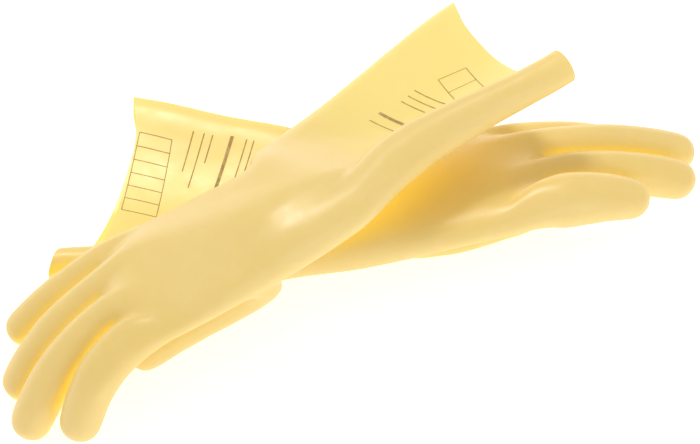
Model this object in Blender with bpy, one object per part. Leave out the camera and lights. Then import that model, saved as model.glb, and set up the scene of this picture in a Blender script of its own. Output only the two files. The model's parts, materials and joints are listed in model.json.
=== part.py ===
"""A crossed pair of seamless latex insulating gloves, 360 mm long, built in metres with +Z up.

Each glove is a thin hollow skin, open at the cuff. Its skin is divided at the flex lines: a sleeve,
a hand, a thumb and four fingers. Each digit has a round root that turns in its own hole in the hand,
and the hand has a round heel that turns in the end of the sleeve.

A glove's own frame has its origin at the middle of the wrist. X runs towards the fingertips, Y towards
the thumb and Z out of the back of the hand. The left glove uses the same numbers, mirrored by its frame.
"""

import math

import bmesh
import bpy
from mathutils import Matrix, Vector

MM = 0.001

# Driving dimensions, in millimetres.
WALL = 1.3  # latex wall
SWING_GAP = 0.5  # clearance round each digit's root
HEEL_GAP = 1.6  # clearance round the hand's heel in the sleeve
RING_POINTS = 26  # points round the sleeve and the hand
DIGIT_POINTS = 12  # points round a digit

HAND_LENGTH = 92.0  # wrist to the front of the palm
PALM_HALF = (47.5, 15.0)  # half width and half depth at the middle of the palm
KNUCKLE_HALF = (48.5, 15.0)  # the same at the roots of the fingers

CUFF_DEPTH = 9.5  # across both walls of the flattened cuff
CURL_RADIUS = 10.0  # the curled thumb edge at the rim
CURL_RADIUS_WRIST = 19.0  # the curl opens out to this at the wrist
CUFF_SAG = 8.0  # how far the middle of the cuff sinks
RIM_DIP = 17.0  # how far the rim of the back draws in beside the curl
PALM_DIP = 0.55  # and the rim of the palm side, as a share of that
DIP_FALL = 0.7  # how fully the dip holds on its way to the folded edge
CURL_BACK = (-15, 30, 75, 120, 162)  # degrees round the curl of the ring points before the back's
CURL_PALM = (-100, -58)  # and of those after the palm side's
BACK_POINTS = 8
PALM_POINTS = 10
SQUARENESS = 2.3  # of the ovals: 2 is an ellipse, and more is boxier
FLAT_BY = 0.62  # the shares of the sleeve's length by which it's flat,
THIN_BY = 0.7  # as thin as the cuff,
CURLED_BY = 0.95  # and curled as tightly as the rim
WIDENING = 0.45  # how soon the sleeve reaches the cuff's width: 1 is evenly
DROP_BY = 0.6  # the share of the sleeve by which it lies flat
WRIST_TURN = 10.0  # degrees that the wrist's own axis is turned from the palm's towards the sleeve's
TURN_LENGTH = 34.0  # the palm straightens over this length
COLLAR = 17.0  # the straight end of the sleeve round the hand's heel
COLLAR_EDGE = 4.0  # from the wrist hinge back to the collar's edge
COLLAR_LAST = 15.0  # and back to the collar's last straight ring
SLEEVE_RINGS = (0.07, 0.16, 0.26, 0.36, 0.47, 0.59, 0.72, 0.86, 1.0)  # shares of the sleeve's length
WRIST_BEND = 0.3  # how quickly the sleeve turns away from the hand, as a share of its length

PALM_RINGS = (0.0, 14.0, 30.0, 46.0, 62.0, 76.0)  # from the wrist
HEEL_RINGS = 5
HEEL_DEPTH = 0.72  # how far back the heel's dome goes, as a share of its half depth
HOLLOW_DEPTH = 0.9  # its hollow goes further, which leaves the heel open

ROOT_RADIUS = 10.5  # round root of each finger
ROOT_SETBACK = 5.0  # from a finger's hinge back to the palm's front wall
THUMB_ROOT_RADIUS = 11.5
THENAR_RADIUS = 15.0  # the lobe that carries the thumb
THENAR_RINGS = ((0.0, 0.75), (0.35, 1.0), (0.7, 1.0), (1.0, 0.97))  # share of its length, of its radius
BORE_REACH = 6.0  # how far a root's hole is cut past the palm's front wall and past the hinge
DIGIT_STEPS = 6
TIP_TAPER = 0.06  # how much slimmer the tip is than the shaft
ROOT_DOME = (50, 25)  # degrees of the rings that round off a digit's root
TIP_DOME = (35, 65)  # and its tip
DIGIT_TURN = (0.55, 0.4, 0.1)  # where a digit's curve turns: the shares of its reach, lean and curl

# Digits: hinge centre, and the radius of the shaft.
HINGES = {
    "index": ((95.0, 36.8, 0.0), 11.9),
    "middle": ((99.0, 12.2, 1.5), 11.9),
    "ring": ((96.0, -12.4, 0.5), 11.7),
    "little": ((89.0, -36.0, -2.0), 10.9),
    "thumb": ((41.0, 9.0, -28.0), 11.6),
}
FINGERS = ("index", "middle", "ring", "little")
THENAR_START = (8.0, 14.0, -12.0)

# How each glove lies: its wrist, its rim, and how far each digit reaches, leans and curls.
RIGHT = {
    "name": "right",
    "mirror": 1,
    "wrist": (-42.0, -28.0, 87.0),
    "wrist_half": (39.0, 19.5),
    "hand_angles": (200.0, -18.0, 24.0),
    "finger_set": 12.0,
    "thumb_shift": 0.0,
    "rim": (93.0, 96.5, 76.5),
    "rim_angles": (216.5, 0.0, 26.0),
    "cuff_width": 117.0,
    "rim_slant": 0.0,
    "digits": {
        "index": (51.0, -6.5, 32.0),
        "middle": (70.0, -6.0, 33.0),
        "ring": (67.0, -6.8, 25.5),
        "little": (58.0, -11.0, 13.0),
        "thumb": (54.0, 0.0, 5.0),
    },
}
LEFT = {
    "name": "left",
    "mirror": -1,
    "wrist": (8.0, 8.0, 36.0),
    "wrist_half": (44.0, 19.0),
    "hand_angles": (13.0, 4.0, 26.0),
    "finger_set": 4.0,
    "thumb_shift": -8.0,
    "rim": (-144.0, 38.0, 11.5),
    "rim_angles": (-4.0, 0.0, 2.0),
    "cuff_width": 129.0,
    "rim_slant": 30.0,
    "digits": {
        "index": (51.0, -6.5, 12.0),
        "middle": (76.0, -9.0, 24.0),
        "ring": (84.0, -10.0, 26.0),
        "little": (64.0, -8.0, 22.0),
        "thumb": (50.0, -9.0, 3.0),
    },
}

LATEX = (0.93, 0.80, 0.42, 1.0)


def lerp(a, b, t):
    return a + (b - a) * t


def smooth(t):
    t = min(max(t, 0.0), 1.0)
    return t * t * (3.0 - 2.0 * t)


def frame(origin, heading, pitch, roll, mirror):
    """A glove frame: X along the heading, Y to the thumb side, raised by the roll, Z out of the back."""
    h, p, r = (math.radians(a) for a in (heading, pitch, roll))
    x = Vector((math.cos(h) * math.cos(p), math.sin(h) * math.cos(p), math.sin(p)))
    return frame_along(origin, x, r, mirror)


def frame_along(origin, x, roll, mirror):
    side = Vector((0, 0, 1)).cross(x).normalized() * mirror
    up = x.cross(side) * mirror
    y = side * math.cos(roll) + up * math.sin(roll)
    z = up * math.cos(roll) - side * math.sin(roll)
    turned = Matrix((x, y, z)).transposed().to_4x4()
    return Matrix.Translation(Vector(origin)) @ turned


def hand_frame(glove):
    return frame(glove["wrist"], *glove["hand_angles"], glove["mirror"])


def wrist_frame(glove, turn=1.0):
    """The hand's frame turned about the back's normal, towards the sleeve."""
    return hand_frame(glove) @ Matrix.Rotation(math.radians(WRIST_TURN * turn), 4, "Z")


def sleeve_point(glove, t):
    """The sleeve's centre line: a Hermite curve from collar to rim, which soon drops to its rest."""
    wrist = wrist_frame(glove)
    rim = frame(glove["rim"], *glove["rim_angles"], glove["mirror"])
    a, b = wrist @ Vector((-COLLAR, 0, 0)), rim.translation
    reach = (b - a).length
    u = -wrist.col[0].to_3d() * reach * WRIST_BEND
    v = -rim.col[0].to_3d() * reach
    t2, t3 = t * t, t * t * t
    point = a * (2 * t3 - 3 * t2 + 1) + u * (t3 - 2 * t2 + t) + b * (3 * t2 - 2 * t3) + v * (t3 - t2)
    point.z = lerp(a.z, b.z, smooth(t / DROP_BY))
    return point


def sleeve_frame(glove, t):
    """The sleeve's frame from the collar (t = 0) to the rim (t = 1)."""
    step = 0.01
    along = sleeve_point(glove, t + step) - sleeve_point(glove, t - step)
    angles = glove["hand_angles"], glove["rim_angles"]
    roll = math.radians(lerp(angles[0][2], angles[1][2], smooth(t / DROP_BY)))
    return frame_along(sleeve_point(glove, t), -along.normalized(), roll, glove["mirror"])


def oval(half_width, half_depth):
    """Outline points from the thumb side, over the back, round the little-finger side and the palm."""
    points = []
    for i in range(RING_POINTS):
        a = 2 * math.pi * i / RING_POINTS
        c, s = math.cos(a), math.sin(a)
        y = half_width * math.copysign(abs(c) ** (2 / SQUARENESS), c)
        z = half_depth * math.copysign(abs(s) ** (2 / SQUARENESS), s)
        points.append(Vector((y, z)))
    return points


def curled_band(width, depth, curl, sag):
    """A flattened sleeve whose thumb edge is curled into a tube, point for point like oval()."""
    centre = Vector((width / 2 - curl, curl - depth / 2))
    fold = -width / 2 + depth / 2

    def on_curl(degrees):
        a = math.radians(degrees)
        return centre + Vector((math.cos(a), math.sin(a))) * curl

    def on_band(u, side):
        y = lerp(centre.x - curl, fold, u)
        return Vector((y, -sag * math.sin(math.pi * u) + side * depth / 2))

    back = [on_curl(a) for a in CURL_BACK]
    back += [on_band((i + 0.5) / BACK_POINTS, 1) for i in range(BACK_POINTS)]
    palm = [on_band(1 - (i + 0.5) / PALM_POINTS, -1) for i in range(PALM_POINTS)]
    tip = [Vector((fold - depth / 2, 0.0))]
    return back + tip + palm + [on_curl(a) for a in CURL_PALM]


def sleeve_outline(glove, t):
    """The sleeve's outline: oval at the wrist, a curled band at the rim."""
    flat = smooth(t / FLAT_BY)
    half_width, half_depth = glove["wrist_half"]
    width = lerp(2 * half_width, glove["cuff_width"], t**WIDENING)
    depth = lerp(half_depth, CUFF_DEPTH, smooth(t / THIN_BY))
    curl = lerp(CURL_RADIUS_WRIST, CURL_RADIUS, smooth(t / CURLED_BY))
    band = curled_band(width, depth, curl, CUFF_SAG * flat)
    return [p.lerp(q, flat) for p, q in zip(oval(width / 2, half_depth), band)]


def inset(outline, distance):
    """The outline moved inwards by the distance, along each point's own normal."""
    moved = []
    for i, p in enumerate(outline):
        ahead = outline[(i + 1) % len(outline)] - p
        behind = p - outline[i - 1]
        tangent = (ahead.normalized() + behind.normalized()).normalized()
        moved.append(p + Vector((-tangent.y, tangent.x)) * distance)
    return moved


def rim_dip(i):
    """How far ring point i draws in at the rim: most on the back beside the curl, less on the palm side."""
    back = len(CURL_BACK)
    fold = back + BACK_POINTS
    if back <= i < fold:
        return RIM_DIP * math.cos((i - back) / BACK_POINTS * math.pi / 2) ** DIP_FALL
    if fold < i <= fold + PALM_POINTS:
        return PALM_DIP * RIM_DIP * math.sin((i - fold) / (PALM_POINTS + 1) * math.pi / 2)
    return 0.0


def place_ring(matrix, outline, slant, dip):
    """A ring of 3D points: slant moves the thumb side back along the glove, dip draws in the rim."""
    return [matrix @ Vector((dip * rim_dip(i) - slant * p.x, p.x, p.y)) for i, p in enumerate(outline)]


def circle_ring(matrix, centre, direction, radius):
    """A ring of DIGIT_POINTS round a digit, square to its direction in the hand's frame."""
    x = direction.normalized()
    y = (Vector((0, 1, 0)) - x * x.y).normalized()
    z = x.cross(y)
    ring = []
    for i in range(DIGIT_POINTS):
        a = 2 * math.pi * i / DIGIT_POINTS
        ring.append(matrix @ (centre + (y * math.cos(a) + z * math.sin(a)) * radius))
    return ring


def lay_flat(rings, height):
    """Keep every point at or above the height, as latex lies flat on a table."""
    return [[Vector((p.x, p.y, max(p.z, height))) for p in ring] for ring in rings]


def add_rings(mesh, rings):
    """Join each ring to the next with quads and return the rings of vertices."""
    loops = [[mesh.verts.new(p * MM) for p in ring] for ring in rings]
    for a, b in zip(loops, loops[1:]):
        bridge(mesh, a, b)
    return loops


def bridge(mesh, a, b):
    for i in range(len(a)):
        j = (i + 1) % len(a)
        mesh.faces.new((a[i], a[j], b[j], b[i]))


def finish(mesh, name):
    """Turn the faces outwards and link the mesh as a named object."""
    bmesh.ops.recalc_face_normals(mesh, faces=mesh.faces)
    data = bpy.data.meshes.new(name)
    mesh.to_mesh(data)
    mesh.free()
    thing = bpy.data.objects.new(name, data)
    bpy.context.collection.objects.link(thing)
    return thing


def solid(name, rings):
    """A closed loft through the rings."""
    mesh = bmesh.new()
    loops = add_rings(mesh, rings)
    mesh.faces.new(loops[0])
    mesh.faces.new(loops[-1])
    bmesh.ops.triangulate(mesh, faces=mesh.faces)
    return finish(mesh, name)


def tube(name, outer, inner):
    """A wall between two lofts, open at both ends."""
    mesh = bmesh.new()
    outside = add_rings(mesh, outer)
    inside = add_rings(mesh, inner)
    bridge(mesh, outside[0], inside[0])
    bridge(mesh, outside[-1], inside[-1])
    bmesh.ops.triangulate(mesh, faces=mesh.faces)
    return finish(mesh, name)


def thimble(name, outer, inner, outer_tip, inner_tip):
    """A wall between two lofts, open at the first ring and closed at the tip."""
    mesh = bmesh.new()
    outside = add_rings(mesh, outer)
    inside = add_rings(mesh, inner)
    bridge(mesh, outside[0], inside[0])
    for loop, tip in ((outside[-1], outer_tip), (inside[-1], inner_tip)):
        apex = mesh.verts.new(tip * MM)
        for i in range(len(loop)):
            mesh.faces.new((loop[i], loop[(i + 1) % len(loop)], apex))
    bmesh.ops.triangulate(mesh, faces=mesh.faces)
    return finish(mesh, name)


def cut(target, tool, operation="DIFFERENCE"):
    """Apply a Boolean to the target and remove the tool."""
    step = target.modifiers.new("cut", "BOOLEAN")
    step.operation = operation
    step.object = tool
    graph = bpy.context.evaluated_depsgraph_get()
    done = bpy.data.meshes.new_from_object(target.evaluated_get(graph))
    target.modifiers.clear()
    target.data = done
    bpy.data.objects.remove(tool)


def latex(name):
    """Each shell's own latex material."""
    material = bpy.data.materials.new(name + "_latex")
    material.use_nodes = True
    shader = material.node_tree.nodes["Principled BSDF"]
    shader.inputs["Base Color"].default_value = LATEX
    shader.inputs["Roughness"].default_value = 0.45
    shader.inputs["Metallic"].default_value = 0.0
    return material


def make_sleeve(glove):
    """The gauntlet: from just behind the wrist hinge to the rim."""
    wrist = wrist_frame(glove)
    collar = [(wrist @ Matrix.Translation((-x, 0, 0)), 0.0) for x in (COLLAR_EDGE, COLLAR_LAST)]
    sleeve = [(sleeve_frame(glove, t), t) for t in SLEEVE_RINGS]
    outer, inner = [], []
    for matrix, t in collar + sleeve:
        spare = (WALL + HEEL_GAP) * (1 - smooth(t / 0.2))
        outline = [p + p.normalized() * spare for p in sleeve_outline(glove, t)]
        slant = glove["rim_slant"] / glove["cuff_width"] * smooth(t)
        dip = smooth((t - 0.6) / 0.4)
        outer.append(place_ring(matrix, outline, slant, dip))
        inner.append(place_ring(matrix, inset(outline, WALL), slant, dip))
    return tube(glove["name"] + "_gauntlet", lay_flat(outer, 0.0), lay_flat(inner, WALL))


def palm_half(glove, x):
    """Half width and half depth of the hand at x."""
    u = x / HAND_LENGTH
    if u < 0.5:
        t = smooth(u / 0.5)
        return [lerp(a, b, t) for a, b in zip(glove["wrist_half"], PALM_HALF)]
    t = smooth(u / 0.5 - 1)
    return [lerp(a, b, t) for a, b in zip(PALM_HALF, KNUCKLE_HALF)]


def hinge_point(glove, name):
    """A digit's hinge in the glove's frame: the knuckle row is turned by the glove's finger set."""
    x, y, z = HINGES[name][0]
    if name == "thumb":
        return Vector((x, y + glove["thumb_shift"], z))
    a = math.radians(glove["finger_set"])
    x -= HAND_LENGTH
    turned = (x * math.cos(a) - y * math.sin(a), x * math.sin(a) + y * math.cos(a))
    return Vector((HAND_LENGTH + turned[0], turned[1], z))


def digit_axes(glove, name):
    """The directions that a digit reaches, leans and curls away from, in the glove's frame."""
    a = 0.0 if name == "thumb" else math.radians(glove["finger_set"])
    return Vector((math.cos(a), math.sin(a), 0)), Vector((-math.sin(a), math.cos(a), 0)), Vector((0, 0, 1))


def front_wall(glove, y):
    """Where the palm's front wall stands at y, ROOT_SETBACK behind the fingers' hinges."""
    points = [hinge_point(glove, name) for name in FINGERS]
    hinges = sorted((p.y, p.x) for p in points)
    y = min(max(y, hinges[0][0]), hinges[-1][0])
    for (y0, x0), (y1, x1) in zip(hinges, hinges[1:]):
        if y <= y1:
            return lerp(x0, x1, (y - y0) / (y1 - y0)) - ROOT_SETBACK
    return hinges[-1][1] - ROOT_SETBACK


def palm_solid(name, glove, skin):
    """The hand without its digits; skin is how far its surface lies inside the outer one."""
    half_width, half_depth = glove["wrist_half"]
    rings = []
    # The heel is round about the wrist's cross axis, so that it turns inside the sleeve.
    reach = math.asin(HEEL_DEPTH if skin == 0 else HOLLOW_DEPTH)
    for i in range(HEEL_RINGS):
        a = reach * (1 - i / HEEL_RINGS)
        outline = inset([p * math.cos(a) for p in oval(half_width, half_depth)], skin)
        placed = wrist_frame(glove) @ Matrix.Translation((-half_depth * math.sin(a), 0, 0))
        rings.append([placed @ Vector((0, p.x, p.y)) for p in outline])
    for x in PALM_RINGS:
        outline = inset(oval(*palm_half(glove, x)), skin)
        turned = wrist_frame(glove, 1 - smooth(x / TURN_LENGTH))
        placed = Matrix.Translation(hand_frame(glove) @ Vector((x, 0, 0)) - turned.translation) @ turned
        rings.append([placed @ Vector((0, p.x, p.y)) for p in outline])
    front = inset(oval(*KNUCKLE_HALF), skin)
    rings.append([hand_frame(glove) @ Vector((front_wall(glove, p.x) - skin, p.x, p.y)) for p in front])
    return solid(name, rings)


def thenar_solid(name, glove, skin):
    """The lobe at the base of the thumb, flat where the thumb's root goes in."""
    start, hinge = Vector(THENAR_START), hinge_point(glove, "thumb")
    along = (hinge - start).normalized()
    wall = hinge - along * (ROOT_SETBACK + skin)
    rings = []
    for t, scale in THENAR_RINGS:
        radius = THENAR_RADIUS * scale - skin
        rings.append(circle_ring(hand_frame(glove), start.lerp(wall, t), along, radius))
    return solid(name, rings)


def root_bore(matrix, centre, direction, radius):
    """The tool for the hole that a digit's root turns in."""
    behind = centre - direction.normalized() * (ROOT_SETBACK + BORE_REACH)
    ahead = centre + direction.normalized() * BORE_REACH
    return solid("bore", [circle_ring(matrix, p, direction, radius + SWING_GAP) for p in (behind, ahead)])


def make_hand(glove):
    """The hand's shell, with an open heel and a round hole for each digit's root."""
    hand = palm_solid(glove["name"] + "_hand", glove, 0.0)
    cut(hand, thenar_solid("lobe", glove, 0.0), "UNION")
    cut(hand, palm_solid("hollow", glove, WALL))
    cut(hand, thenar_solid("lobe_hollow", glove, WALL))
    for name in HINGES:
        root = THUMB_ROOT_RADIUS if name == "thumb" else ROOT_RADIUS
        hinge = hinge_point(glove, name)
        direction = hinge - Vector(THENAR_START) if name == "thumb" else digit_axes(glove, name)[0]
        cut(hand, root_bore(hand_frame(glove), hinge, direction, root))
    return hand


def digit_curve(glove, name):
    """The points of a digit's centre line, from its hinge to the middle of its round tip."""
    reach, lean, curl = glove["digits"][name]
    start = hinge_point(glove, name)
    x, y, z = digit_axes(glove, name)
    forward, across, down = DIGIT_TURN
    turn = start + x * forward * reach + y * across * lean - z * down * curl
    end = start + x * reach + y * lean - z * curl
    points = []
    for i in range(DIGIT_STEPS + 1):
        t = i / DIGIT_STEPS
        points.append(start * (1 - t) ** 2 + turn * 2 * t * (1 - t) + end * t * t)
    return points


def make_digit(glove, name):
    """A finger or thumb: a round root, open behind, and a shaft that bends to its round tip."""
    matrix = hand_frame(glove)
    shaft = HINGES[name][1]
    root = THUMB_ROOT_RADIUS if name == "thumb" else ROOT_RADIUS
    points = digit_curve(glove, name)
    first = (points[1] - points[0]).normalized()
    last = (points[-1] - points[-2]).normalized()
    walls = []
    for skin in (0.0, WALL):
        rings = []
        for degrees in ROOT_DOME:
            a = math.radians(degrees)
            centre = points[0] - first * math.sin(a) * (root - skin)
            rings.append(circle_ring(matrix, centre, first, (root - skin) * math.cos(a)))
        for i, point in enumerate(points):
            ahead = points[min(i + 1, len(points) - 1)]
            behind = points[max(i - 1, 0)]
            radius = (root if i == 0 else shaft * (1.0 - TIP_TAPER * i / len(points))) - skin
            rings.append(circle_ring(matrix, point, ahead - behind, radius))
        tip_radius = shaft * (1.0 - TIP_TAPER) - skin
        for degrees in TIP_DOME:
            a = math.radians(degrees)
            centre = points[-1] + last * math.sin(a) * tip_radius
            rings.append(circle_ring(matrix, centre, last, tip_radius * math.cos(a)))
        walls.append((lay_flat(rings, skin), matrix @ (points[-1] + last * tip_radius)))
    (outer, outer_tip), (inner, inner_tip) = walls
    return thimble(f"{glove['name']}_{name}", outer, inner, outer_tip, inner_tip)


def pivot(glove, name):
    """Where a piece's own joint is: the digit's hinge, or the wrist for the hand and the sleeve."""
    return hand_frame(glove) @ hinge_point(glove, name) if name in HINGES else Vector(glove["wrist"])


def settle(shells):
    """Move the pair so that the middle of its box's base is the world's origin."""
    points = [shell.matrix_world @ v.co for shell in shells for v in shell.data.vertices]
    low, high = ([pick(p[axis] for p in points) for axis in range(3)] for pick in (min, max))
    shift = Vector(((low[0] + high[0]) / 2, (low[1] + high[1]) / 2, low[2]))
    for shell in shells:
        shell.location -= shift


def main():
    for thing in list(bpy.data.objects):
        bpy.data.objects.remove(thing)
    pair = []
    for glove in (LEFT, RIGHT):
        shells = {"gauntlet": make_sleeve(glove), "hand": make_hand(glove)}
        shells.update((name, make_digit(glove, name)) for name in HINGES)
        for name, shell in shells.items():
            place = pivot(glove, name) * MM
            shell.data.transform(Matrix.Translation(-place))
            shell.location = place
            shell.data.materials.clear()
            shell.data.materials.append(latex(shell.name))
            shell.data.shade_smooth()
            pair.append(shell)
    bpy.context.view_layer.update()
    settle(pair)


main()
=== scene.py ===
"""A crossed pair of latex insulating gloves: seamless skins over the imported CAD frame."""

import json
import math

import bmesh
import bpy
import numpy as np
from mathutils import Matrix, Vector, noise
from mathutils.bvhtree import BVHTree


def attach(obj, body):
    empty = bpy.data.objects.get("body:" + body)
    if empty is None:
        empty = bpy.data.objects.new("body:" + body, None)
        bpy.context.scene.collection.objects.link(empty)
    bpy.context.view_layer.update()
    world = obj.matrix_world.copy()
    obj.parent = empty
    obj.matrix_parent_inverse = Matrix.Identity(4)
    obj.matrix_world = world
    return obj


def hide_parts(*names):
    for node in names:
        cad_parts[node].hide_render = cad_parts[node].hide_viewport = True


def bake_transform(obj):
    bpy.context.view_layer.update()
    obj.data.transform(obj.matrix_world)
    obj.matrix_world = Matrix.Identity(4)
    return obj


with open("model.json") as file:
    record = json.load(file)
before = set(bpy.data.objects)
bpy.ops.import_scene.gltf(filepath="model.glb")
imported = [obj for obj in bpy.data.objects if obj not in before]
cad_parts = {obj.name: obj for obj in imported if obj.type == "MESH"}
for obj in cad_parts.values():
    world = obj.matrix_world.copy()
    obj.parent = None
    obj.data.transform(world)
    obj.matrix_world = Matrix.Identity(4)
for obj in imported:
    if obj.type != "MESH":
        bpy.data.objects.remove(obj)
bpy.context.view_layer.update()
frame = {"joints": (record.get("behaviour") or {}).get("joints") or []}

MM = 0.001

# The gloves' shape, in millimetres, as the CAD has it.
HAND_LENGTH = 92.0  # wrist to the front of the palm
PALM_HALF = (47.5, 15.0)  # half width and half depth at the middle of the palm
KNUCKLE_HALF = (48.5, 15.0)
CUFF_DEPTH = 9.5  # across both walls of the flattened cuff
CURL_RADIUS = 10.0  # the curled thumb edge at the rim
CURL_RADIUS_WRIST = 19.0
CUFF_SAG = 8.0  # how far the middle of the flat cuff sags
DROP_BY = 0.6  # the share of the sleeve's length by which it has come down to its rest
WRIST_TURN = 10.0  # degrees that the hand is turned from the sleeve
TURN_LENGTH = 34.0  # of the palm, over which that turn fades
COLLAR = 17.0  # the sleeve's centre line starts this far behind the wrist
WRIST_BEND = 0.3  # how long the sleeve keeps the wrist's direction
WALL = 1.1  # latex wall of the skin

FLAT_BY = 0.56  # the shares of the sleeve's length by which it is flat,
THIN_BY = 0.7  # as thin as the cuff,
CURLED_BY = 0.95  # and curled as tightly as the rim
WIDENING = 0.45  # how soon the sleeve reaches the cuff's width: 1 is evenly
SQUARENESS = 2.3  # of the ovals: 2 is an ellipse, and more is boxier

RING_POINTS = 26
BACK_EDGE = 5  # the first ring point of the flat cuff's back, beside the curl
FOLD = 13  # the ring point on the cuff's folded edge
PALM_EDGE = 23  # the last ring point of its palm side
DIGIT_POINTS = 8
LEVELS = 3  # subdivisions of the cage
OCTAGON = 1.0 / 0.902  # a subdivided octagon shrinks to 0.902 of its radius
CURL_FULL = 1.1  # the curl's own points are this much further out, for the same reason
FOLD_FULL = 3.0  # and the fold's tip stands this many millimetres further out

# Each digit's hinge from the wrist, and its radius.
HINGES = {
    "index": ((95.0, 36.8, 0.0), 11.9),
    "middle": ((99.0, 12.2, 1.5), 11.9),
    "ring": ((96.0, -12.4, 0.5), 11.7),
    "little": ((89.0, -36.0, -2.0), 10.9),
    "thumb": ((41.0, 9.0, -28.0), 11.6),
}
FINGERS = ("index", "middle", "ring", "little")

# Each glove: where it lies, how its cuff is shaped, each digit's reach, lean and curl, and how its visible
# skin differs from the CAD's shells (roots: how far a finger's root is moved; girth: its thickness there).
RIGHT = {
    "name": "right",
    "mirror": 1,
    "wrist": (-42.0, -28.0, 87.0),
    "wrist_half": (39.0, 19.5),
    "hand_angles": (200.0, -18.0, 24.0),
    "finger_set": 12.0,
    "thumb_shift": 0.0,
    "rim": (93.0, 96.5, 76.5),
    "rim_angles": (216.5, 0.0, 26.0),
    "cuff_width": 117.0,
    "rim_slant": 0.0,
    "rim_dip": 17.0,
    "tube_out": 0.0,
    "corner_out": 3.0,
    "bulge": 5.0,
    "spread": 6.0,
    "waist": 14.0,
    "digits": {
        "index": (51.0, -6.5, 32.0),
        "middle": (70.0, -6.0, 33.0),
        "ring": (67.0, -6.8, 25.5),
        "little": (58.0, -11.0, 13.0),
        "thumb": (54.0, 0.0, 5.0),
    },
    "roots": {},
    "girth": {},
    "lobe_out": 1.0,
    "ridge": 2.6,
}
LEFT = {
    "name": "left",
    "mirror": -1,
    "wrist": (8.0, 8.0, 36.0),
    "wrist_half": (44.0, 19.0),
    "hand_angles": (13.0, 4.0, 26.0),
    "finger_set": 4.0,
    "thumb_shift": -8.0,
    "rim": (-144.0, 38.0, 11.5),
    "rim_angles": (-4.0, 0.0, 2.0),
    "cuff_width": 129.0,
    "rim_slant": 30.0,
    "rim_dip": 15.0,
    "tube_out": 6.0,
    "corner_out": 5.0,
    "bulge": 8.0,
    "spread": 3.0,
    "waist": 0.0,
    "digits": {
        "index": (51.0, -6.5, 12.0),
        "middle": (76.0, -9.0, 24.0),
        "ring": (84.0, -10.0, 26.0),
        "little": (64.0, -8.0, 22.0),
        "thumb": (50.0, -9.0, 3.0),
    },
    "roots": {
        "index": (1.0, -3.5, 1.5),
        "middle": (4.0, -8.0, -3.5),
        "ring": (5.0, -12.5, -2.5),
        "little": (0.0, -11.0, -6.0),
    },
    "girth": {"index": 1.27, "middle": 1.03, "little": 0.95},
    "lobe_out": 0.2,
    "ridge": 0.8,
}


def joint(name):
    return next(j for j in frame["joints"] if j["name"] == name)


# The CAD moves both gloves together to centre the base of their box: the wrist joint says by how much.
SHIFT = Vector(joint("left_wrist_flex")["pos_m"]) / MM - Vector(LEFT["wrist"])


def lerp(a, b, t):
    return a + (b - a) * t


def smooth(t):
    t = min(max(t, 0.0), 1.0)
    return t * t * (3.0 - 2.0 * t)


def frame_along(origin, x, roll, mirror):
    """A frame whose X is the given direction, rolled from level."""
    side = Vector((0, 0, 1)).cross(x).normalized() * mirror
    up = x.cross(side) * mirror
    y = side * math.cos(roll) + up * math.sin(roll)
    z = up * math.cos(roll) - side * math.sin(roll)
    return Matrix.Translation(Vector(origin)) @ Matrix((x, y, z)).transposed().to_4x4()


def glove_frame(origin, heading, pitch, roll, mirror):
    """A glove frame: X towards the fingertips, Y towards the thumb, Z out of the back."""
    h, p, r = (math.radians(a) for a in (heading, pitch, roll))
    x = Vector((math.cos(h) * math.cos(p), math.sin(h) * math.cos(p), math.sin(p)))
    return frame_along(origin, x, r, mirror)


def hand_frame(glove):
    return glove_frame(glove["wrist"], *glove["hand_angles"], glove["mirror"])


def wrist_frame(glove, turn=1.0):
    return hand_frame(glove) @ Matrix.Rotation(math.radians(WRIST_TURN * turn), 4, "Z")


def sleeve_point(glove, t):
    """The sleeve's centre line: a Hermite curve from collar to rim, which soon drops to its rest."""
    wrist = wrist_frame(glove)
    rim = glove_frame(glove["rim"], *glove["rim_angles"], glove["mirror"])
    a, b = wrist @ Vector((-COLLAR, 0, 0)), rim.translation
    reach = (b - a).length
    u = -wrist.col[0].to_3d() * reach * WRIST_BEND
    v = -rim.col[0].to_3d() * reach
    t2, t3 = t * t, t * t * t
    start = a * (2 * t3 - 3 * t2 + 1) + u * (t3 - 2 * t2 + t)
    point = start + b * (3 * t2 - 2 * t3) + v * (t3 - t2)
    point.z = lerp(a.z, b.z, smooth(t / DROP_BY))
    return point


def sleeve_frame(glove, t):
    """The sleeve's frame from the collar (t = 0) to the rim (t = 1)."""
    step = 0.01
    along = sleeve_point(glove, t + step) - sleeve_point(glove, t - step)
    roll = math.radians(lerp(glove["hand_angles"][2], glove["rim_angles"][2], smooth(t / DROP_BY)))
    return frame_along(sleeve_point(glove, t), -along.normalized(), roll, glove["mirror"])


def oval(half_width, half_depth):
    """A boxy ellipse, from the thumb edge over the back, as (towards the thumb, out of the back)."""
    points = []
    for i in range(RING_POINTS):
        a = 2 * math.pi * i / RING_POINTS
        c, s = math.cos(a), math.sin(a)
        y = half_width * math.copysign(abs(c) ** (2 / SQUARENESS), c)
        z = half_depth * math.copysign(abs(s) ** (2 / SQUARENESS), s)
        points.append(Vector((y, z)))
    return points


CURL_BACK = (-15, 33, 81, 129)  # degrees round the curl of the ring points before the back's
CURL_END = 178  # and of the last one, which keeps to the curl's own radius
CURL_PALM = (-100, -58)  # and of those after the palm side's
BACK_STEPS = (0.015, 0.14, 0.28, 0.42, 0.56, 0.70, 0.84, 0.97)
PALM_POINTS = 10


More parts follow.
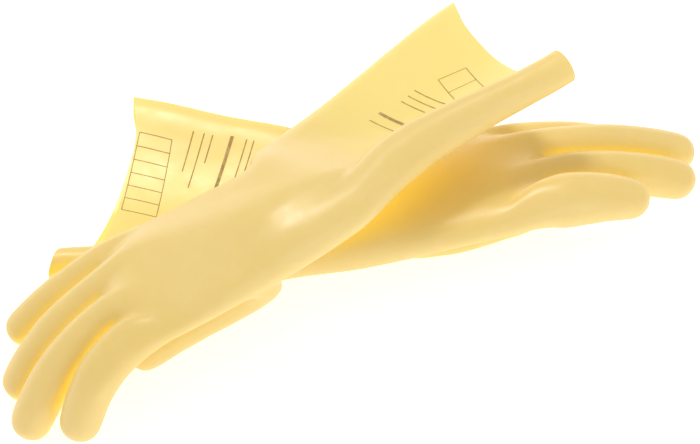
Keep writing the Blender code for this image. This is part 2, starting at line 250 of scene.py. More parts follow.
def curled_band(width, depth, curl, sag):
    """A flattened sleeve whose thumb edge is curled into a tube, point for point like oval()."""
    centre = Vector((width / 2 - curl, curl - depth / 2))
    fold = -width / 2 + depth / 2

    def on_curl(degrees, out=CURL_FULL):
        a = math.radians(degrees)
        return centre + Vector((math.cos(a), math.sin(a))) * curl * out

    def on_band(u, side):
        drop = -sag * math.sin(math.pi * u)
        return Vector((lerp(centre.x - curl, fold, u), drop + side * depth / 2))

    back = [on_curl(a) for a in CURL_BACK] + [on_curl(CURL_END, 1.0)]
    back += [on_band(u, 1) for u in BACK_STEPS]
    tip = [Vector((fold - depth / 2 - FOLD_FULL, 0.0))]
    palm = [on_band(1 - (i + 0.5) / PALM_POINTS, -1) for i in range(PALM_POINTS)]
    return back + tip + palm + [on_curl(a) for a in CURL_PALM]


BULGE_TO = 0.3  # along the sleeve: the bulge is full up to here, and the spread from here on
BULGE_FADE = 0.5
WAIST_EARLY = 0.06  # the waist starts this far before the sleeve does,
WAIST_SPAN = 0.98  # is this long,
WAIST_POWER = 1.5  # and follows this power of a sine
WAIST_SIDE = 1.7  # how near the centre line the waist's pull is already full


def sleeve_outline(glove, t):
    """The sleeve's outline: oval at the wrist, a curled band at the rim."""
    flat = smooth(t / FLAT_BY)
    half_width, half_depth = glove["wrist_half"]
    width = lerp(2 * half_width, glove["cuff_width"], t**WIDENING)
    depth = lerp(half_depth, CUFF_DEPTH, smooth(t / THIN_BY))
    curl = lerp(CURL_RADIUS_WRIST, CURL_RADIUS, smooth(t / CURLED_BY))
    band = curled_band(width, depth, curl, CUFF_SAG * flat)
    outline = [p.lerp(q, flat) for p, q in zip(oval(width / 2, half_depth), band)]
    swell = glove["bulge"] * (1 - smooth((t - BULGE_TO) / BULGE_FADE))
    swell += glove["spread"] * smooth(t / BULGE_TO)
    waist = glove["waist"] * math.sin(math.pi * min((t + WAIST_EARLY) / WAIST_SPAN, 1.0)) ** WAIST_POWER
    return widened(outline, width / 2, swell, waist)


def widened(outline, half_width, swell, waist):
    """The outline with its little-finger side moved out by the swell, its thumb side in by the waist."""
    for p in outline:
        if p.x < 0:
            p.x -= swell * smooth(-p.x / half_width)
        else:
            p.x -= waist * smooth(WAIST_SIDE * p.x / half_width)
    return outline


PALM_DIP = 0.6  # the rim's dip on the palm side, as a share of the back's
PALM_DIP_SPAN = (0.7, 0.1)  # of half a turn: where its sine stands beside the curl and at the fold


def rim_dip(i):
    """The share of the rim's dip that ring point i draws in: most on the back beside the curl."""
    if BACK_EDGE <= i < FOLD:
        return math.cos((i - BACK_EDGE) / (FOLD - BACK_EDGE) * math.pi / 2)
    if FOLD < i <= PALM_EDGE:
        u = (PALM_EDGE - i) / (PALM_POINTS - 1)
        return PALM_DIP * math.sin(math.pi * lerp(*PALM_DIP_SPAN, u))
    return 0.0


def palm_half(glove, x):
    """Half width and half depth of the hand at x."""
    u = x / HAND_LENGTH
    if u < 0.5:
        t = smooth(u / 0.5)
        return [lerp(a, b, t) for a, b in zip(glove["wrist_half"], PALM_HALF)]
    t = smooth(u / 0.5 - 1)
    return [lerp(a, b, t) for a, b in zip(PALM_HALF, KNUCKLE_HALF)]


def hinge_point(glove, name):
    """A digit's hinge in the hand's frame: the knuckle row is turned by the glove's finger set."""
    x, y, z = Vector(HINGES[name][0]) + Vector(glove["roots"].get(name, (0.0, 0.0, 0.0)))
    if name == "thumb":
        return Vector((x, y + glove["thumb_shift"], z))
    a = math.radians(glove["finger_set"])
    x -= HAND_LENGTH
    c, s = math.cos(a), math.sin(a)
    return Vector((HAND_LENGTH + x * c - y * s, x * s + y * c, z))


def digit_axes(glove, name):
    """Forwards, towards the thumb, and out of the back, for a digit's root."""
    a = 0.0 if name == "thumb" else math.radians(glove["finger_set"])
    c, s = math.cos(a), math.sin(a)
    return Vector((c, s, 0)), Vector((-s, c, 0)), Vector((0, 0, 1))


DIGIT_TURN = (0.55, 0.4, 0.1)  # the centre line's middle point: shares of the reach, lean and curl


def digit_point(glove, name, t):
    """A point of the digit's centre line, from its hinge (t = 0) to the middle of its tip (t = 1)."""
    reach, lean, curl = glove["digits"][name]
    start = hinge_point(glove, name)
    x, y, z = digit_axes(glove, name)
    forward, aside, down = DIGIT_TURN
    turn = start + x * forward * reach + y * aside * lean - z * down * curl
    end = start + x * reach + y * lean - z * curl
    return start * (1 - t) ** 2 + turn * 2 * t * (1 - t) + end * t * t


class Cage:
    """Control points in world millimetres, quads between them, and the piece that each quad is of."""

    def __init__(self):
        self.points = []
        self.thin = []
        self.quads = []
        self.labels = []

    def ring(self, points, thin=0.0):
        """Adds points and returns their numbers; thin says how thin and see-through the latex is at each,
        which also sets how much painted backlight brightens it.
        """
        first = len(self.points)
        self.points += [Vector(p) for p in points]
        self.thin += thin if isinstance(thin, list) else [thin] * len(points)
        return list(range(first, len(self.points)))

    def quad(self, corners, label):
        self.quads.append(corners)
        self.labels.append(label)

    def bridge(self, a, b, label, skip=()):
        """Quads from ring a to ring b, leaving out those that start at the skipped points."""
        for i in range(len(a)):
            if i not in skip:
                j = (i + 1) % len(a)
                self.quad((a[i], a[j], b[j], b[i]), label)


SLEEVE_STEPS = (1.0, 0.965, 0.9, 0.8, 0.69, 0.58, 0.47, 0.36, 0.25, 0.14)
PALM_STEPS = (-5.0, 13.0, 29.0, 43.0, 58.0, 73.0)
DIP_FROM = 0.6  # along the sleeve: where the rim's dip starts to draw the rings in
EDGES_FROM = 0.5  # and where the tube's end and the folded corner start to stand out
TUBE_TO = 4  # the curl's ring points come before this one and after PALM_EDGE
CORNER = range(12, 15)  # the ring points at the folded corner
BULGE_PALM = 42.0  # of the palm, over which the wrist's bulge fades
CREST = (5.4, 8.3)  # the ring point on the ridge along the back, at the wrist and at the knuckles
SLEEVE_CREST = 5.2
CREST_FADE = 0.4  # the ridge dies out over this much of the sleeve
THUMB_RINGS = (2, 4)  # the palm rings that the thumb grows between: two quads long
THUMB_SIDE = 21  # and the first ring point of its two quads across


def trunk_rings(glove):
    """The rings of the sleeve and the palm, from the rim to just behind the knuckles."""
    rings = []
    for t in SLEEVE_STEPS:
        matrix = sleeve_frame(glove, t)
        slant = glove["rim_slant"] / glove["cuff_width"] * smooth(t)
        dip = glove["rim_dip"] * smooth((t - DIP_FROM) / (1 - DIP_FROM))
        out = smooth((t - EDGES_FROM) / (1 - EDGES_FROM))
        height = glove["ridge"] * (1 - smooth(t / CREST_FADE))
        ring = []
        for i, p in enumerate(ridged(sleeve_outline(glove, t), SLEEVE_CREST, height)):
            run = dip * rim_dip(i) - slant * p.x
            if i < TUBE_TO or i > PALM_EDGE:
                run -= glove["tube_out"] * out
            elif i in CORNER:
                run -= glove["corner_out"] * out
            ring.append(matrix @ Vector((run, p.x, p.y)))
        rings.append(ring)
    hand = hand_frame(glove)
    for x in PALM_STEPS:
        turned = wrist_frame(glove, 1 - smooth(x / TURN_LENGTH))
        turned.translation = hand @ Vector((x, 0, 0))
        half_width, half_depth = palm_half(glove, max(x, 0.0))
        bulge = glove["bulge"] * (1 - smooth(x / BULGE_PALM))
        outline = widened(oval(half_width, half_depth), half_width, bulge, 0.0)
        outline = ridged(outline, lerp(*CREST, max(x, 0.0) / HAND_LENGTH), glove["ridge"])
        rings.append([turned @ Vector((0, p.x, p.y)) for p in outline])
    return rings


RIDGE_WIDTH = 1.2  # in ring points
HOLLOW = (0.7, 2.6, 1.3)  # its depth as a share of the ridge's height, its distance and its width


def ridged(outline, crest, height):
    """The outline with a soft ridge along the back, highest at the crest, and a hollow beside it."""
    depth, away, width = HOLLOW
    for i, p in enumerate(outline[: FOLD + 1]):
        p.y += height * math.exp(-(((i - crest) / RIDGE_WIDTH) ** 2))
        p.y -= depth * height * math.exp(-(((i - crest - away) / width) ** 2))
    return outline


# A finger's root, as (forwards, towards the thumb, out of the back) from its hinge.
ROOT = {
    "T0": (-1.0, 8.6, 10.5),
    "T1": (-5.0, 0.0, 15.5),
    "T2": (-1.0, -8.6, 10.5),
    "B2": (3.0, -8.6, -10.5),
    "B1": (1.0, 0.0, -13.5),
    "B0": (3.0, 8.6, -10.5),
}
WEB = (9.0, 11.6, -1.0)  # a web's corner, from the hinge of the finger beside it
INDEX_SIDE = (2.0, 13.2)  # forwards and aside: the hand's edge at the index finger's root
LITTLE_SIDE = (2.0, -12.2)  # and at the little finger's


def root_point(glove, name, offset):
    x, y, z = digit_axes(glove, name)
    point = hinge_point(glove, name) + x * offset[0] + y * offset[1] + z * offset[2]
    return hand_frame(glove) @ point


def knuckles(cage, glove):
    """The ring of the fingers' roots and the webs between them, and each finger's own loop."""
    ring = [None] * RING_POINTS
    for f, name in enumerate(FINGERS):
        for corner, i in (("T0", 1), ("T1", 2), ("T2", 3)):
            ring[i + 3 * f] = root_point(glove, name, ROOT[corner])
        for corner, i in (("B0", 25), ("B1", 24), ("B2", 23)):
            ring[i - 3 * f] = root_point(glove, name, ROOT[corner])
    forward, aside = INDEX_SIDE
    ring[0] = root_point(glove, "index", (forward, aside * glove["girth"].get("index", 1.0), 0.0))
    ring[FOLD] = root_point(glove, "little", (*LITTLE_SIDE, 0.0))
    ring = cage.ring(ring)
    sides = {("index", 1): ring[0], ("little", -1): ring[FOLD]}
    for f, name in enumerate(FINGERS[:-1]):
        after = FINGERS[f + 1]
        inner = root_point(glove, name, (WEB[0], -WEB[1], WEB[2]))
        outer = root_point(glove, after, WEB)
        # Each corner of a web stands equally far forward of its own finger's hinge.
        sides[name, -1], sides[after, 1] = cage.ring([inner, outer], 1.0)
        cage.quad((ring[3 + 3 * f], ring[4 + 3 * f], sides[after, 1], sides[name, -1]), "hand")
        cage.quad((sides[name, -1], sides[after, 1], ring[22 - 3 * f], ring[23 - 3 * f]), "hand")
    loops = {}
    for f, name in enumerate(FINGERS):
        top = [ring[i + 3 * f] for i in (1, 2, 3)]
        under = [ring[i - 3 * f] for i in (23, 24, 25)]
        loops[name] = [sides[name, 1]] + top + [sides[name, -1]] + under
    return ring, loops


def octagon(glove, centre, y, z, radius):
    """Control points that a subdivided digit passes round its centre at the radius."""
    ring = []
    for i in range(DIGIT_POINTS):
        a = 2 * math.pi * i / DIGIT_POINTS
        spoke = (y * math.cos(a) + z * math.sin(a)) * radius * OCTAGON
        ring.append(hand_frame(glove) @ (centre + spoke))
    return ring


def digit_ring(glove, name, t, radius, beyond=0.0):
    """Eight control points round the digit, from the thumb side over the top."""
    step = 0.02
    ahead, behind = min(t + step, 1), max(t - step, 0)
    x = (digit_point(glove, name, ahead) - digit_point(glove, name, behind)).normalized()
    y = (Vector((0, 1, 0)) - x * x.y).normalized()
    return octagon(glove, digit_point(glove, name, t) + x * beyond, y, x.cross(y), radius)


# How a digit's radius changes along it: (how far along, share of the hinge's radius).
GIRTH = ((0.22, 1.05), (0.38, 1.03), (0.52, 1.04), (0.66, 1.01), (0.82, 1.01), (1.0, 0.985))
TIP = ((0.45, 0.90), (0.80, 0.62))  # forward and across, as shares of the tip's radius
TIP_END = 1.25  # the end point's distance forward


def grow_digit(cage, glove, name, loop):
    """The digit's skin, from its root loop to its closed tip. The root's own girth fades on the way."""
    shaft = HINGES[name][1]
    root = glove["girth"].get(name, 1.0)
    for t, girth in GIRTH:
        ring = cage.ring(digit_ring(glove, name, t, shaft * girth * lerp(root, 1.0, t * t)))
        cage.bridge(loop, ring, name)
        loop = ring
    tip = shaft * GIRTH[-1][1]
    for forward, across in TIP:
        ring = cage.ring(digit_ring(glove, name, 1.0, tip * across, tip * forward))
        cage.bridge(loop, ring, name)
        loop = ring
    last = digit_ring(glove, name, 1.0, tip, tip * TIP_END)
    (end,) = cage.ring([sum(last, Vector()) / DIGIT_POINTS])
    for i in range(0, DIGIT_POINTS, 2):
        cage.quad((end, loop[i], loop[i + 1], loop[(i + 2) % DIGIT_POINTS]), name)


def thumb_hole(rings):
    """The loop that the thumb grows from, in digit_ring()'s order: from the thumb side over the top."""
    (near, far), side = THUMB_RINGS, THUMB_SIDE
    middle = (near + far) // 2
    return [
        rings[middle][side + 2],
        rings[far][side + 2],
        rings[far][side + 1],
        rings[far][side],
        rings[middle][side],
        rings[near][side],
        rings[near][side + 1],
        rings[near][side + 2],
    ]


# Rings of the lobe at the thumb's base, from its hinge: back, out, up, width as a share of the thumb's
# radius, and lean in radians.
LOBE = ((23.0, 7.0, 9.5, 1.25, 0.8), (9.0, 2.5, 2.6, 1.1, 0.4))


def grow_thumb(cage, glove, loop):
    """The lobe at the thumb's base belongs to the hand; the thumb itself starts at its hinge."""
    radius = HINGES["thumb"][1]
    hinge = hinge_point(glove, "thumb")
    y = Vector((0, 1, 0))
    for back, out, up, width, lean in LOBE:
        x = Vector((math.cos(lean), 0, -math.sin(lean)))
        centre = hinge + Vector((-back, out * glove["lobe_out"], up))
        ring = cage.ring(octagon(glove, centre, y, x.cross(y), radius * width))
        cage.bridge(loop, ring, "hand")
        loop = ring
    return loop


THIN_FROM, THIN_SPAN = 0.1, 0.7  # along the sleeve: where it starts to look thin, and over how much
THIN_EDGE = (3, 25, 3.5)  # ring points: thin between these two, and fading over this many


def thinness(k):
    """How thin each point of the trunk's ring k is, most on the flat of the cuff: how see-through it is,
    and how much painted light from below brightens it.
    """
    if k >= len(SLEEVE_STEPS):
        return [0.0] * RING_POINTS
    flat = smooth((SLEEVE_STEPS[k] - THIN_FROM) / THIN_SPAN)
    first, last, fade = THIN_EDGE
    return [flat * smooth(min(i - first, last - i) / fade) for i in range(RING_POINTS)]


def build_cage(glove):
    """The whole glove's control cage, from the rim to the fingertips."""
    cage = Cage()
    rings = [cage.ring(points, thinness(k)) for k, points in enumerate(trunk_rings(glove))]
    palm = len(SLEEVE_STEPS)
    near, far = (palm + i - 1 for i in THUMB_RINGS)
    for k, (a, b) in enumerate(zip(rings, rings[1:])):
        skip = (THUMB_SIDE, THUMB_SIDE + 1) if near <= k < far else ()
        cage.bridge(a, b, "hand", skip)
    ring, loops = knuckles(cage, glove)
    cage.bridge(rings[-1], ring, "hand")
    hole = thumb_hole({i: rings[palm + i - 1] for i in range(THUMB_RINGS[0], THUMB_RINGS[1] + 1)})
    loops["thumb"] = grow_thumb(cage, glove, hole)
    for name, loop in loops.items():
        grow_digit(cage, glove, name, loop)
    return cage


WAVES = ((0.35, 0.035), (0.12, 0.11))  # the skin's unevenness: height, and waves per millimetre


def undulate(points, normals):
    """Slow, shallow unevenness, as a dipped skin has, and nothing below the floor."""
    for k, (p, n) in enumerate(zip(points, normals)):
        lift = sum(height * noise.noise(Vector(p) * scale) for height, scale in WAVES)
        q = Vector(p) + Vector(n) * lift
        points[k] = (q.x, q.y, max(q.z, 0.0))
    return points


def subdivided(cage, mirror):
    """The cage's smooth skin: points in millimetres, quads, a label per quad and a thinness per point."""
    mesh = bpy.data.meshes.new("cage")
    quads = cage.quads if mirror > 0 else [tuple(reversed(q)) for q in cage.quads]
    mesh.from_pydata([p + SHIFT for p in cage.points], [], quads)
    names = sorted(set(cage.labels))
    mesh.attributes.new("thin", "FLOAT", "POINT").data.foreach_set("value", cage.thin)
    label = mesh.attributes.new("piece", "INT", "FACE")
    label.data.foreach_set("value", [names.index(n) for n in cage.labels])
    thing = bpy.data.objects.new("cage", mesh)
    bpy.context.scene.collection.objects.link(thing)
    step = thing.modifiers.new("smooth", "SUBSURF")
    step.levels = step.render_levels = LEVELS
    result = thing.evaluated_get(bpy.context.evaluated_depsgraph_get())
    done = bpy.data.meshes.new_from_object(result)
    bpy.data.objects.remove(thing)
    normals = [tuple(n.vector) for n in done.vertex_normals]
    points = undulate([tuple(v.co) for v in done.vertices], normals)
    faces = [tuple(p.vertices) for p in done.polygons]
    labels = [names[v.value] for v in done.attributes["piece"].data]
    thin = [v.value for v in done.attributes["thin"].data]
    bpy.data.meshes.remove(done)
    return points, faces, labels, thin


SHARP_ANGLE = 50.0  # the rim's edges are sharper than this, and the skin is smoother


def walled(points, faces, labels, thin):
    """The skin with its inner wall and its rim, in metres, with a label for each face."""
    mesh = bpy.data.meshes.new("skin")
    mesh.from_pydata([Vector(p) * MM for p in points], [], faces)
    normals = np.array([n.vector for n in mesh.vertex_normals])
    outer = np.array(points)
    inner = outer - normals * WALL
    inner[:, 2] = np.maximum(inner[:, 2], WALL * 0.5)
    count = len(points)
    edges = dict.fromkeys(e for f in faces for e in zip(f, f[1:] + f[:1]))
    rim = [(i, j) for (i, j) in edges if (j, i) not in edges]
    all_faces = list(faces) + [tuple(i + count for i in reversed(f)) for f in faces]
    all_faces += [(j, i, i + count, j + count) for i, j in rim]
    all_labels = list(labels) + list(labels) + ["hand"] * len(rim)
    bpy.data.meshes.remove(mesh)
    full = bpy.data.meshes.new("skin")
    full.from_pydata((np.vstack([outer, inner]) * MM).tolist(), [], all_faces)
    full.attributes.new("thin", "FLOAT", "POINT").data.foreach_set("value", thin + thin)
    inside = [0.0] * count + [1.0] * count
    full.attributes.new("inner", "FLOAT", "POINT").data.foreach_set("value", inside)
    full.shade_smooth()
    full.set_sharp_from_angle(angle=math.radians(SHARP_ANGLE))
    return full, all_labels


def split(full, labels, label, name, material):
    """One piece of the full skin, with the full skin's own normals so that its seams don't show."""
    chosen = [p for p, own in zip(full.polygons, labels) if own == label]
    index = {}
    for p in chosen:
        for v in p.vertices:
            index.setdefault(v, len(index))
    mesh = bpy.data.meshes.new(name)
    faces = [[index[v] for v in p.vertices] for p in chosen]
    mesh.from_pydata([full.vertices[v].co for v in index], [], faces)
    for kind in ("thin", "inner"):
        whole = full.attributes[kind].data
        own = mesh.attributes.new(kind, "FLOAT", "POINT").data
        own.foreach_set("value", [whole[v].value for v in index])
    mesh.shade_smooth()
    mesh.set_sharp_from_angle(angle=math.radians(SHARP_ANGLE))
    corners = full.corner_normals
    mesh.normals_split_custom_set([corners[i].vector for p in chosen for i in p.loop_indices])
    mesh.materials.append(material)
    thing = bpy.data.objects.new(name, mesh)
    bpy.context.scene.collection.objects.link(thing)
    return thing


def seam_front(full, labels, label, direction):
    """The furthest point of a digit's seam along its direction, in metres."""
    mine, others = set(), set()
    for p, own in zip(full.polygons, labels):
        (mine if own == label else others).update(p.vertices)
    return max((full.vertices[v].co @ direction for v in mine & others), default=0.0)


class Nodes:
    """Short names for building a material's nodes."""

    def __init__(self, name):
        self.material = bpy.data.materials.new(name)
        self.material.use_nodes = True
        self.tree = self.material.node_tree
        self.tree.nodes.clear()
        self.link = self.tree.links.new

    def add(self, kind, **values):
        """A node with its settings and inputs; an underscore stands for a space in an input's name."""
        node = self.tree.nodes.new(kind)
        for key, value in values.items():
            if hasattr(node, key):
                setattr(node, key, value)
            else:
                socket = node.inputs[key.replace("_", " ")]
                if isinstance(value, bpy.types.NodeSocket):
                    self.link(value, socket)
                else:
                    socket.default_value = value
        return node

    def noise(self, where, scale, detail=2.0, rough=0.5):
        node = self.add("ShaderNodeTexNoise", Vector=where, Scale=scale, Detail=detail, Roughness=rough)
        return node.outputs["Fac"]

    def ramp(self, value, low, high, start, end):
        """A smooth change from start to end as the value goes from low to high."""
        node = self.add("ShaderNodeMapRange", interpolation_type="SMOOTHSTEP", Value=value)
        for socket, number in zip(("From Min", "From Max", "To Min", "To Max"), (low, high, start, end)):
            node.inputs[socket].default_value = number
        return node.outputs["Result"]

    def mix(self, factor, a, b):
        node = self.tree.nodes.new("ShaderNodeMix")
        node.data_type = "RGBA"
        for socket, value in ((node.inputs[0], factor), (node.inputs[6], a), (node.inputs[7], b)):
            if isinstance(value, bpy.types.NodeSocket):
                self.link(value, socket)
            else:
                socket.default_value = value
        return node.outputs[2]

    def finish(self, shader):
        """Shows the shader, and returns the material."""
        out = self.add("ShaderNodeOutputMaterial")
        self.link(shader.outputs[0], out.inputs[0])
        return self.material


LATEX = (0.85, 0.725, 0.315, 1)
LATEX_PATCH = (0.84, 0.705, 0.28, 1)  # slow, broad changes of colour
LATEX_FLECK = (0.90, 0.78, 0.37, 1)  # and small, pale ones
# thin latex's clearer yellow: partly its own colour, partly painted light shining through it from below
LATEX_THIN_PAINTED_BACKLIGHT = (1.0, 0.92, 0.345, 1)
# painted light: the deeper yellow of light scattered into a fold, mixed in where the ambient occlusion
# finds close faces
PAINTED_FOLD_LIGHT = (1.0, 0.82, 0.16, 1)
LATEX_THROUGH = (1.0, 0.87, 0.34, 1)  # of the light that comes through it
# painted glow: the outer skin gives off this yellow light in its folds
FOLD_GLOW = (1.0, 0.80, 0.17, 1)  # of the light that the latex scatters into a fold
NO_GLOW = (0.0, 0.0, 0.0, 1)
FOLD_REACH = 0.03  # metres: faces nearer than this make a fold
PATCHES = 14.0  # noise scales, in waves per metre
FLECKS = 110.0
GRAIN = 900.0
INK_WEAR = 260.0


def latex_colour(n, where, thin, fine, closeness):
    """The latex's colour: mottled at random, clearer and brighter where it is thin, with painted light
    from below shining through there, and a painted deeper yellow of scattered light in a fold.
    """
    broad = n.noise(where, PATCHES, 3.0)
    base = n.mix(n.ramp(broad, 0.35, 0.68, 0.0, 1.0), LATEX, LATEX_PATCH)
    base = n.mix(n.ramp(fine, 0.45, 0.75, 0.0, 0.35), base, LATEX_FLECK)
    # Where it is thin: clearer yellow, brightened with painted light shining through from below.
    base = n.mix(n.ramp(thin, 0.0, 1.0, 0.0, 1.0), base, LATEX_THIN_PAINTED_BACKLIGHT)
    # Painted light: a deeper yellow where the ambient occlusion finds a fold, for the light scattered
    # there.
    return n.mix(n.ramp(closeness, 0.25, 0.85, 1.0, 0.0), base, PAINTED_FOLD_LIGHT)


def latex_material():
    """Natural latex: pale satin where it is full, clearer yellow where it is thin, with painted light
    shining through there, and a painted deeper yellow and glow of scattered light in its folds.
    """
    n = Nodes("latex")
    where = n.add("ShaderNodeTexCoord").outputs["Object"]
    thin = n.add("ShaderNodeAttribute", attribute_name="thin").outputs["Fac"]
    inner = n.add("ShaderNodeAttribute", attribute_name="inner").outputs["Fac"]
    fine = n.noise(where, FLECKS, 4.0, 0.6)
    grain = n.noise(where, GRAIN)
    folds = n.add("ShaderNodeAmbientOcclusion", Distance=FOLD_REACH)
    folds.samples = 6
    closeness = folds.outputs["AO"]  # 1 in the open, 0 deep in a fold
    base = latex_colour(n, where, thin, fine, closeness)
    # A painted glow: the outer face gives off yellow light where the ambient occlusion finds a fold.
    painted_glow_colour = n.mix(inner, FOLD_GLOW, NO_GLOW)
    painted_glow_strength = n.ramp(closeness, 0.08, 0.72, 0.37, 0.0)
    rough = n.ramp(fine, 0.3, 0.7, 0.30, 0.38)
    bump = n.add("ShaderNodeBump", Strength=0.25, Distance=0.0002, Height=fine)
    bump = n.add("ShaderNodeBump", Strength=0.12, Distance=0.00006, Height=grain, Normal=bump.outputs[0])
    skin = n.add("ShaderNodeBsdfPrincipled", Base_Color=base, Roughness=rough, Normal=bump.outputs[0])
    skin.inputs["Specular IOR Level"].default_value = 0.55
    n.link(painted_glow_colour, skin.inputs["Emission Color"])
    n.link(painted_glow_strength, skin.inputs["Emission Strength"])
    skin.inputs["Sheen Weight"].default_value = 0.12
    skin.inputs["Sheen Roughness"].default_value = 0.4
    through = n.add("ShaderNodeBsdfTranslucent", Color=LATEX_THROUGH)
    both = n.add("ShaderNodeMixShader", Fac=n.ramp(thin, 0.0, 1.0, 0.28, 0.30))
    n.link(skin.outputs[0], both.inputs[1])
    n.link(through.outputs[0], both.inputs[2])
    return n.finish(both)


INK = (0.38, 0.25, 0.06, 1)
INK_WORN = (0.56, 0.40, 0.13, 1)


def ink_material():
    """A thin brown print that has worn a little unevenly."""
    n = Nodes("ink")
    where = n.add("ShaderNodeTexCoord").outputs["Object"]
    worn = n.noise(where, INK_WEAR, 3.0, 0.6)
    base = n.mix(n.ramp(worn, 0.42, 0.7, 0.0, 1.0), INK, INK_WORN)
    return n.finish(n.add("ShaderNodeBsdfPrincipled", Base_Color=base, Roughness=0.6))


FLOOR_GLOW = 0.55  # the floor is a lit table


def floor_material():
    """Matt white that gives off a little light of its own."""
    n = Nodes("floor")
    skin = n.add("ShaderNodeBsdfPrincipled", Base_Color=(0.95, 0.95, 0.95, 1), Roughness=0.8)
    skin.inputs["Specular IOR Level"].default_value = 0.1
    skin.inputs["Emission Color"].default_value = (1, 1, 1, 1)
    skin.inputs["Emission Strength"].default_value = FLOOR_GLOW
    return n.finish(skin)


def make_glove(glove, latex):
    """The skin as six pieces, one for the sleeve and hand and one for each digit, in place of the CAD's
    own parts, which it hides. Returns the one of the sleeve and hand.
    """
    full, labels = walled(*subdivided(build_cage(glove), glove["mirror"]))
    side = glove["name"]
    trunk = split(full, labels, "hand", side + "_sleeve_and_hand", latex)
    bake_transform(trunk)
    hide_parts(side + "_gauntlet", side + "_hand")
    for name in HINGES:
        piece = split(full, labels, name, f"{side}_{name}_skin", latex)
        direction = (hand_frame(glove).to_3x3() @ digit_axes(glove, name)[0]).normalized()
        hinge = (hand_frame(glove) @ hinge_point(glove, name) + SHIFT) * MM
        ahead = seam_front(full, labels, name, direction) - hinge @ direction
        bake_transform(piece)
        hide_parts(side + "_" + name)
    bpy.data.meshes.remove(full)
    return trunk


PRINT_LIFT = 0.00012  # metres that the film stands off the latex
LINE = 0.5  # width of a printed line
ABOVE = 60.0  # the film is dropped onto the sleeve from this far over its centre line


class Print:
    """A thin printed film laid on a sleeve: bars given in the sleeve's own flattened measure."""

    def __init__(self, glove, trunk):
        self.glove = glove
        self.tree = BVHTree.FromObject(trunk, bpy.context.evaluated_depsgraph_get())
        self.mesh = bmesh.new()

    def place(self, t, y):
        """The point of the sleeve's back at t along it and y across it, and the normal there."""
        matrix = sleeve_frame(self.glove, t)
        above = matrix @ Vector((0, y, ABOVE)) + SHIFT
        down = -matrix.col[2].to_3d()
        point, normal, _, _ = self.tree.ray_cast(above * MM, down.normalized())
        if point is None:
            point, normal, _, _ = self.tree.find_nearest(above * MM)
        return point + normal * PRINT_LIFT, normal

    def bar(self, t0, y0, t1, y1, width=LINE, steps=12):
        """A printed bar from one place on the sleeve to another."""
        spots = [self.place(lerp(t0, t1, i / steps), lerp(y0, y1, i / steps)) for i in range(steps + 1)]
        left, right = [], []
        for i, (point, normal) in enumerate(spots):
            ahead = spots[min(i + 1, steps)][0] - spots[max(i - 1, 0)][0]
            across = normal.cross(ahead).normalized() * width * MM / 2
            left.append(self.mesh.verts.new(point + across))
            right.append(self.mesh.verts.new(point - across))
        for i in range(steps):
            self.mesh.faces.new((left[i], right[i], right[i + 1], left[i + 1]))

    def finish(self, name, body, material):
        mesh = bpy.data.meshes.new(name)
        self.mesh.to_mesh(mesh)
        self.mesh.free()
        mesh.materials.append(material)
        thing = bpy.data.objects.new(name, mesh)
        bpy.context.scene.collection.objects.link(thing)
        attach(thing, body)
        return thing


def print_grid(film, near, far, cells):
    """A row of cells between its first and last rungs, each (t, y, t, y) from one rail to the other."""
    for end in (0, 2):
        film.bar(*near[end : end + 2], *far[end : end + 2], steps=4 * cells)
    for i in range(cells + 1):
        film.bar(*[lerp(a, b, i / cells) for a, b in zip(near, far)])


FLOOR_HALF = 6.0


def make_stage():
    """A wide pale floor that the gloves lie on."""
    mesh = bpy.data.meshes.new("floor")
    signs = ((-1, -1), (1, -1), (1, 1), (-1, 1))
    mesh.from_pydata([(x * FLOOR_HALF, y * FLOOR_HALF, 0) for x, y in signs], [], [(0, 1, 2, 3)])
    mesh.materials.append(floor_material())
    floor = bpy.data.objects.new("floor", mesh)
    bpy.context.scene.collection.objects.link(floor)


LIT_POINT = Vector((0, 0, 0.04))
LIGHTS = {  # place, size and watts
    "key": (Vector((-0.35, 0.85, 1.5)), 0.45, 12.0),
    "fill": (Vector((0.8, -1.2, 0.6)), 1.0, 5.0),
}
STUDIO = 0.59  # strength of the white all round


def area_light(name, place, size, power):
    lamp = bpy.data.lights.new(name, "AREA")
    lamp.shape = "DISK"
    lamp.size = size
    lamp.energy = power
    thing = bpy.data.objects.new(name, lamp)
    bpy.context.scene.collection.objects.link(thing)
    thing.location = place
    thing.rotation_euler = (LIT_POINT - place).to_track_quat("-Z", "Y").to_euler()


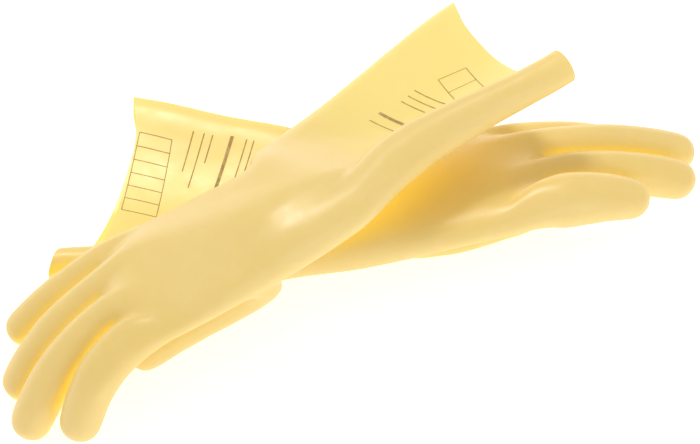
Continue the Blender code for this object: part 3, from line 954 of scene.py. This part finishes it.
def make_lights():
    """Soft white light all round, a key light from behind and above, and a broad fill from the front."""
    world = bpy.data.worlds.new("studio")
    bpy.context.scene.world = world
    world.use_nodes = True
    background = world.node_tree.nodes["Background"]
    background.inputs[0].default_value = (1.0, 1.0, 1.0, 1)
    background.inputs[1].default_value = STUDIO
    for name, light in LIGHTS.items():
        area_light(name, *light)
    bpy.context.scene.view_settings.view_transform = "Standard"


CAMERA_DISTANCE = 1.35
CAMERA_ELEVATION = 60.0
CAMERA_LENS = 123.98
SENSOR = 36.0
AIM = (0.0, 0.0, 40.0)  # before the CAD's own shift


def make_camera():
    lens = bpy.data.cameras.new("camera")
    lens.lens = CAMERA_LENS
    lens.sensor_width = SENSOR
    camera = bpy.data.objects.new("camera", lens)
    bpy.context.scene.collection.objects.link(camera)
    aim = (Vector(AIM) + SHIFT) * MM
    rise = math.radians(CAMERA_ELEVATION)
    camera.location = aim + Vector((0, -math.cos(rise), math.sin(rise))) * CAMERA_DISTANCE
    camera.rotation_euler = (math.pi / 2 - rise, 0, 0)
    bpy.context.scene.camera = camera


# The grid on each sleeve: its first rung, its last rung and its number of cells.
GRIDS = {
    "left": ((0.795, -40.3, 0.903, -42.2), (0.772, 12.3, 0.905, 10.9), 6),
    "right": ((0.766, -16.7, 0.843, -9.8), (0.692, 26.5, 0.771, 34.2), 3),
}
# Plain rules in place of the printed text: how far along, from and to across, and how thick.
RULES = {
    "left": (
        (0.735, -48.0, -22.0, 0.7),
        (0.700, -48.0, -12.0, 0.7),
        (0.672, -48.0, -30.0, 0.7),
        (0.610, -50.0, -4.0, 2.0),
        (0.560, -50.0, 6.0, 0.7),
        (0.535, -50.0, -16.0, 0.7),
    ),
    "right": (
        (0.700, -22.0, 6.0, 0.7),
        (0.675, -22.0, 16.0, 0.7),
        (0.650, -22.0, -2.0, 0.7),
        (0.585, -26.0, 22.0, 2.0),
        (0.550, -26.0, 8.0, 0.7),
    ),
}

make_camera()
make_lights()
make_stage()
latex, ink = latex_material(), ink_material()
for glove in (LEFT, RIGHT):
    trunk = make_glove(glove, latex)
    film = Print(glove, trunk)
    print_grid(film, *GRIDS[glove["name"]])
    for t, start, end, width in RULES[glove["name"]]:
        film.bar(t, start, t, end, width)
    film.finish(glove["name"] + "_print", glove["name"] + "_gauntlet", ink)
